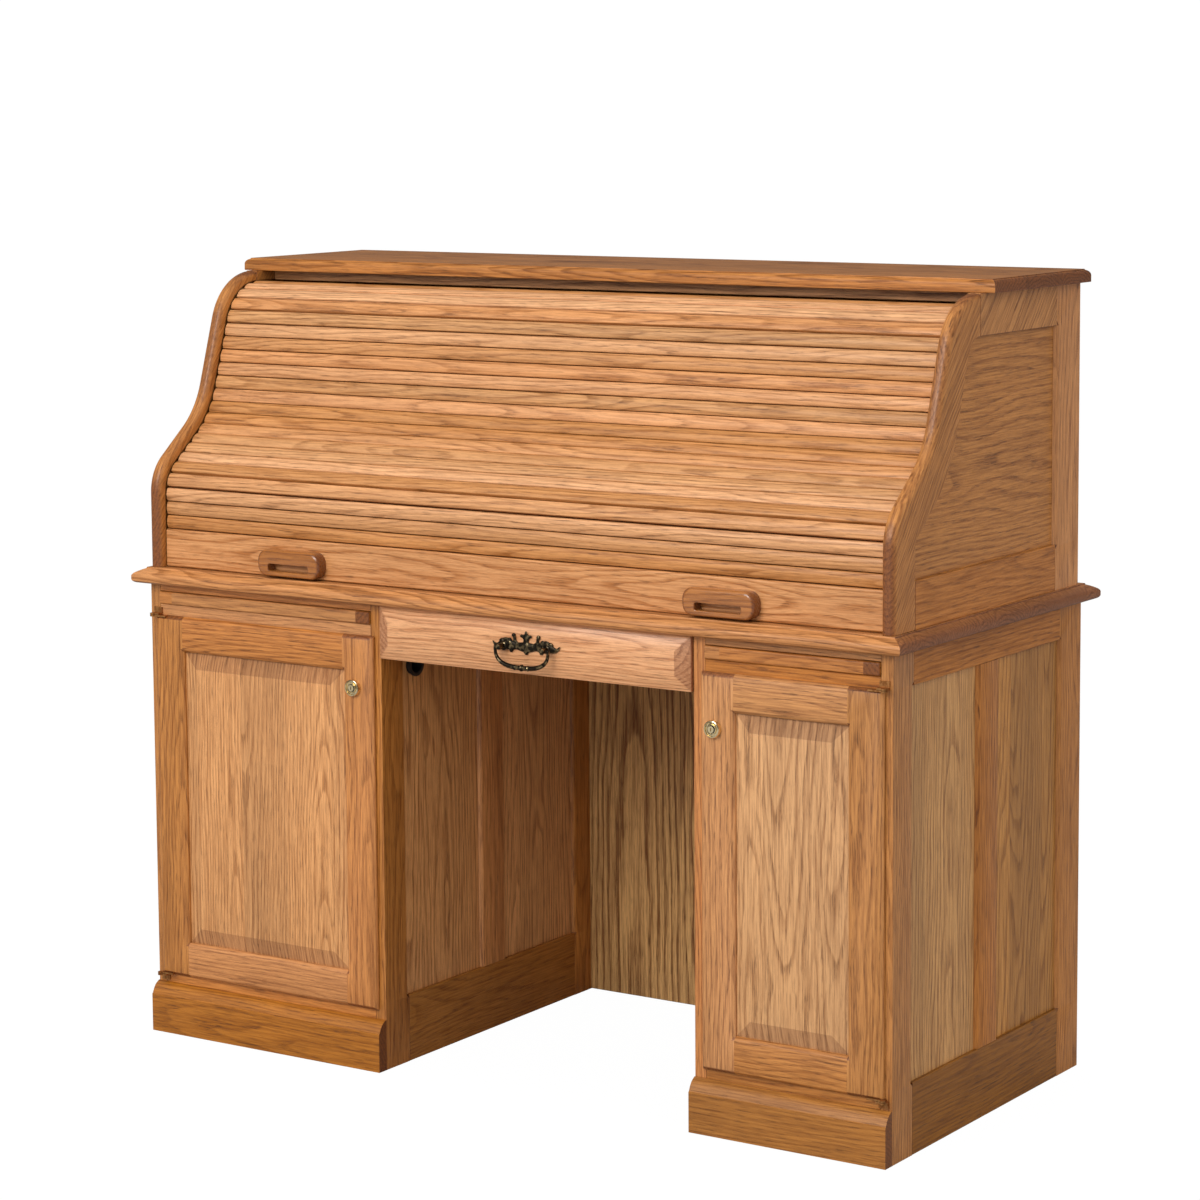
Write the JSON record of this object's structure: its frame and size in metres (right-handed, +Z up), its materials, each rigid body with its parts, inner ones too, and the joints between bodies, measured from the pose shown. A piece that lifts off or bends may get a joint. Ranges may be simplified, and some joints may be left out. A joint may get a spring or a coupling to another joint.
{
  "type": "roll top desk",
  "caption": "Oak roll top desk: curved slatted tambour over a writing surface, two pedestals of unequal width with panelled doors, middle drawer and pull-out boards.",
  "frame": {"origin": "middle of the desk's footprint, at floor level", "axes": "+X to the right of a person facing the drawer, +Y towards the back, +Z up"},
  "size_m": [1.407, 0.656, 1.247],
  "materials": {
    "frame_oak": "satin lacquered oak",
    "panel_oak": "satin lacquered oak",
    "top_oak": "satin lacquered oak",
    "slat_oak": "satin lacquered oak",
    "grip_oak": "gloss lacquered oak",
    "inner_oak": "matt oak",
    "back_ply": "matt plywood",
    "aged_brass": "aged",
    "black_plastic": "matt",
    "pin_steel": "brushed"
  },
  "bodies": {
    "carcass": {"back_panels": "back_ply", "cable_grommet": "black_plastic", "desktop": "top_oak", "frame_hinges": "aged_brass", "front_rails": "frame_oak", "hutch_left_side_frame": "frame_oak", "hutch_right_side_frame": "frame_oak", "hutch_side_panels": "panel_oak", "left_inner_side_frame": "frame_oak", "left_outer_side_frame": "frame_oak", "modesty_panel": "panel_oak", "pedestal_shelves": "inner_oak", "pedestal_side_panels": "panel_oak", "pigeonhole_case": "inner_oak", "plinths": "frame_oak", "right_inner_side_frame": "frame_oak", "right_outer_side_frame": "frame_oak", "shelf_pins": "pin_steel", "slide_cleats": "inner_oak", "top_board": "top_oak"},
    "tambour_lead": {"tambour_lead_rail": "frame_oak", "tambour_handles": "grip_oak"},
    "tambour_slat_01": {"tambour_slat_01": "slat_oak"},
    "tambour_slat_02": {"tambour_slat_02": "slat_oak"},
    "tambour_slat_03": {"tambour_slat_03": "slat_oak"},
    "tambour_slat_04": {"tambour_slat_04": "slat_oak"},
    "tambour_slat_05": {"tambour_slat_05": "slat_oak"},
    "tambour_slat_06": {"tambour_slat_06": "slat_oak"},
    "tambour_slat_07": {"tambour_slat_07": "slat_oak"},
    "tambour_slat_08": {"tambour_slat_08": "slat_oak"},
    "tambour_slat_09": {"tambour_slat_09": "slat_oak"},
    "tambour_slat_10": {"tambour_slat_10": "slat_oak"},
    "tambour_slat_11": {"tambour_slat_11": "slat_oak"},
    "tambour_slat_12": {"tambour_slat_12": "slat_oak"},
    "tambour_slat_13": {"tambour_slat_13": "slat_oak"},
    "tambour_slat_14": {"tambour_slat_14": "slat_oak"},
    "tambour_slat_15": {"tambour_slat_15": "slat_oak"},
    "tambour_slat_16": {"tambour_slat_16": "slat_oak"},
    "tambour_slat_17": {"tambour_slat_17": "slat_oak"},
    "tambour_slat_18": {"tambour_slat_18": "slat_oak"},
    "tambour_slat_19": {"tambour_slat_19": "slat_oak"},
    "tambour_slat_20": {"tambour_slat_20": "slat_oak"},
    "tambour_slat_21": {"tambour_slat_21": "slat_oak"},
    "tambour_slat_22": {"tambour_slat_22": "slat_oak"},
    "left_door": {"left_door_frame": "frame_oak", "left_door_panel": "panel_oak", "left_door_lock": "aged_brass", "left_door_hinges": "aged_brass"},
    "right_door": {"right_door_frame": "frame_oak", "right_door_panel": "panel_oak", "right_door_lock": "aged_brass", "right_door_hinges": "aged_brass"},
    "left_lock_plug": {"left_lock_plug": "aged_brass"},
    "right_lock_plug": {"right_lock_plug": "aged_brass"},
    "left_writing_board": {"left_writing_board": "frame_oak"},
    "right_writing_board": {"right_writing_board": "frame_oak"},
    "drawer": {"drawer_front": "frame_oak", "drawer_box": "inner_oak", "drawer_pull_plate": "aged_brass"},
    "drawer_bail": {"drawer_bail": "aged_brass"}
  },
  "joints": [
    {"name": "tambour_roll", "type": "hinge", "parent": "carcass", "child": "tambour_lead", "pos_m": [0, 0.76594, 0.51129], "axis": [-1, 0, 0], "range_deg": [0, 21.91]},
    {"name": "tambour_slat_01_turn", "type": "hinge", "parent": "tambour_lead", "child": "tambour_slat_01", "pos_m": [0, -0.26903, 0.82194], "axis": [-1, 0, 0], "range_deg": [0, 25.1]},
    {"name": "tambour_slat_02_turn", "type": "hinge", "parent": "tambour_lead", "child": "tambour_slat_02", "pos_m": [0, -0.26681, 0.833], "axis": [-1, 0, 0], "range_deg": [0, 49.57]},
    {"name": "tambour_slat_03_turn", "type": "hinge", "parent": "tambour_lead", "child": "tambour_slat_03", "pos_m": [0, -0.26455, 0.84022], "axis": [-1, 0, 0], "range_deg": [0, 63.59]},
    {"name": "tambour_slat_04_turn", "type": "hinge", "parent": "tambour_slat_06", "child": "tambour_slat_04", "pos_m": [0, -0.28361, 0.87645], "axis": [-1, 0, 0], "range_deg": [0, 12.09]},
    {"name": "tambour_slat_05_turn", "type": "hinge", "parent": "tambour_slat_06", "child": "tambour_slat_05", "pos_m": [0, -0.24174, 0.92775], "axis": [1, 0, 0], "range_deg": [0, 19.97]},
    {"name": "tambour_slat_06_turn", "type": "hinge", "parent": "tambour_lead", "child": "tambour_slat_06", "pos_m": [0, -0.26476, 0.83], "axis": [-1, 0, 0], "range_deg": [0, 51.76]},
    {"name": "tambour_slat_07_turn", "type": "hinge", "parent": "tambour_slat_06", "child": "tambour_slat_07", "pos_m": [0, -0.22725, 0.93967], "axis": [1, 0, 0], "range_deg": [0, 9.03]},
    {"name": "tambour_slat_08_turn", "type": "hinge", "parent": "tambour_slat_06", "child": "tambour_slat_08", "pos_m": [0, -0.21904, 0.94711], "axis": [1, 0, 0], "range_deg": [0, 18.03]},
    {"name": "tambour_slat_09_turn", "type": "hinge", "parent": "tambour_slat_06", "child": "tambour_slat_09", "pos_m": [0, -0.3176, 0.85376], "axis": [1, 0, 0], "range_deg": [0, 3.69]},
    {"name": "tambour_slat_10_turn", "type": "hinge", "parent": "tambour_slat_12", "child": "tambour_slat_10", "pos_m": [0, -0.16385, 0.99837], "axis": [1, 0, 0], "range_deg": [0, 17.74]},
    {"name": "tambour_slat_11_turn", "type": "hinge", "parent": "tambour_slat_12", "child": "tambour_slat_11", "pos_m": [0, -0.15157, 1.01927], "axis": [-1, 0, 0], "range_deg": [0, 1.34]},
    {"name": "tambour_slat_12_turn", "type": "hinge", "parent": "tambour_slat_06", "child": "tambour_slat_12", "pos_m": [0, -0.14372, 1.02327], "axis": [-1, 0, 0], "range_deg": [0, 20.42]},
    {"name": "tambour_slat_13_turn", "type": "hinge", "parent": "tambour_slat_12", "child": "tambour_slat_13", "pos_m": [0, -0.14368, 1.03833], "axis": [-1, 0, 0], "range_deg": [0, 29.06]},
    {"name": "tambour_slat_14_turn", "type": "hinge", "parent": "tambour_slat_12", "child": "tambour_slat_14", "pos_m": [0, -0.14408, 1.0374], "axis": [-1, 0, 0], "range_deg": [0, 27.86]},
    {"name": "tambour_slat_15_turn", "type": "hinge", "parent": "tambour_slat_12", "child": "tambour_slat_15", "pos_m": [0, -0.14482, 1.03586], "axis": [-1, 0, 0], "range_deg": [0, 26.87]},
    {"name": "tambour_slat_16_turn", "type": "hinge", "parent": "tambour_slat_18", "child": "tambour_slat_16", "pos_m": [0, -0.09374, 1.19236], "axis": [-1, 0, 0], "range_deg": [0, 3.18]},
    {"name": "tambour_slat_17_turn", "type": "hinge", "parent": "tambour_slat_18", "child": "tambour_slat_17", "pos_m": [0, -0.10871, 1.15048], "axis": [-1, 0, 0], "range_deg": [0, 8.17]},
    {"name": "tambour_slat_18_turn", "type": "hinge", "parent": "tambour_slat_12", "child": "tambour_slat_18", "pos_m": [0, -0.14477, 1.03722], "axis": [-1, 0, 0], "range_deg": [0, 31.74]},
    {"name": "tambour_slat_19_turn", "type": "hinge", "parent": "tambour_slat_18", "child": "tambour_slat_19", "pos_m": [0, -0.10192, 1.16469], "axis": [1, 0, 0], "range_deg": [0, 12.71]},
    {"name": "tambour_slat_20_turn", "type": "hinge", "parent": "tambour_slat_18", "child": "tambour_slat_20", "pos_m": [0, -0.11289, 1.14275], "axis": [1, 0, 0], "range_deg": [0, 6.08]},
    {"name": "tambour_slat_21_turn", "type": "hinge", "parent": "tambour_slat_18", "child": "tambour_slat_21", "pos_m": [0, -0.50152, 0.5843], "axis": [1, 0, 0], "range_deg": [0, 0.5547]},
    {"name": "tambour_slat_22_turn", "type": "hinge", "parent": "tambour_slat_18", "child": "tambour_slat_22", "pos_m": [0, -0.1303, 1.09024], "axis": [1, 0, 0], "range_deg": [0, 3.15]},
    {"name": "left_door_swing", "type": "hinge", "parent": "carcass", "child": "left_door", "pos_m": [-0.6695, -0.305, 0.39], "axis": [0, 0, -1], "range_deg": [0, 110]},
    {"name": "right_door_swing", "type": "hinge", "parent": "carcass", "child": "right_door", "pos_m": [0.672, -0.305, 0.39], "axis": [0, 0, 1], "range_deg": [0, 110]},
    {"name": "left_lock_turn", "type": "hinge", "parent": "left_door", "child": "left_lock_plug", "pos_m": [-0.264, -0.2935, 0.604], "axis": [0, 1, 0], "range_deg": [0, 90]},
    {"name": "right_lock_turn", "type": "hinge", "parent": "right_door", "child": "right_lock_plug", "pos_m": [0.391, -0.2935, 0.604], "axis": [0, -1, 0], "range_deg": [0, 90]},
    {"name": "left_writing_board_slide", "type": "slide", "parent": "carcass", "child": "left_writing_board", "axis": [0, -1, 0], "range_m": [0, 0.36]},
    {"name": "right_writing_board_slide", "type": "slide", "parent": "carcass", "child": "right_writing_board", "axis": [0, -1, 0], "range_m": [0, 0.36]},
    {"name": "drawer_slide", "type": "slide", "parent": "carcass", "child": "drawer", "axis": [0, -1, 0], "range_m": [0, 0.38]},
    {"name": "drawer_bail_lift", "type": "hinge", "parent": "drawer", "child": "drawer_bail", "pos_m": [0.0675, -0.3225, 0.696], "axis": [-1, 0, 0], "range_deg": [0, 85]}
  ],
  "couplings": [
    {"joint": "tambour_slat_01_turn", "follows": "tambour_roll", "ratio": 1.1455},
    {"joint": "tambour_slat_02_turn", "follows": "tambour_roll", "ratio": 2.2624},
    {"joint": "tambour_slat_03_turn", "follows": "tambour_roll", "ratio": 2.9024},
    {"joint": "tambour_slat_04_turn", "follows": "tambour_roll", "ratio": 0.55176},
    {"joint": "tambour_slat_05_turn", "follows": "tambour_roll", "ratio": 0.91144},
    {"joint": "tambour_slat_06_turn", "follows": "tambour_roll", "ratio": 2.3624},
    {"joint": "tambour_slat_07_turn", "follows": "tambour_roll", "ratio": 0.41216},
    {"joint": "tambour_slat_08_turn", "follows": "tambour_roll", "ratio": 0.82306},
    {"joint": "tambour_slat_09_turn", "follows": "tambour_roll", "ratio": 0.16848},
    {"joint": "tambour_slat_10_turn", "follows": "tambour_roll", "ratio": 0.80963},
    {"joint": "tambour_slat_11_turn", "follows": "tambour_roll", "ratio": 0.061346},
    {"joint": "tambour_slat_12_turn", "follows": "tambour_roll", "ratio": 0.93196},
    {"joint": "tambour_slat_13_turn", "follows": "tambour_roll", "ratio": 1.3266},
    {"joint": "tambour_slat_14_turn", "follows": "tambour_roll", "ratio": 1.2716},
    {"joint": "tambour_slat_15_turn", "follows": "tambour_roll", "ratio": 1.2265},
    {"joint": "tambour_slat_16_turn", "follows": "tambour_roll", "ratio": 0.14511},
    {"joint": "tambour_slat_17_turn", "follows": "tambour_roll", "ratio": 0.37277},
    {"joint": "tambour_slat_18_turn", "follows": "tambour_roll", "ratio": 1.4486},
    {"joint": "tambour_slat_19_turn", "follows": "tambour_roll", "ratio": 0.57996},
    {"joint": "tambour_slat_20_turn", "follows": "tambour_roll", "ratio": 0.27763},
    {"joint": "tambour_slat_21_turn", "follows": "tambour_roll", "ratio": 0.025319},
    {"joint": "tambour_slat_22_turn", "follows": "tambour_roll", "ratio": 0.14356}
  ]
}
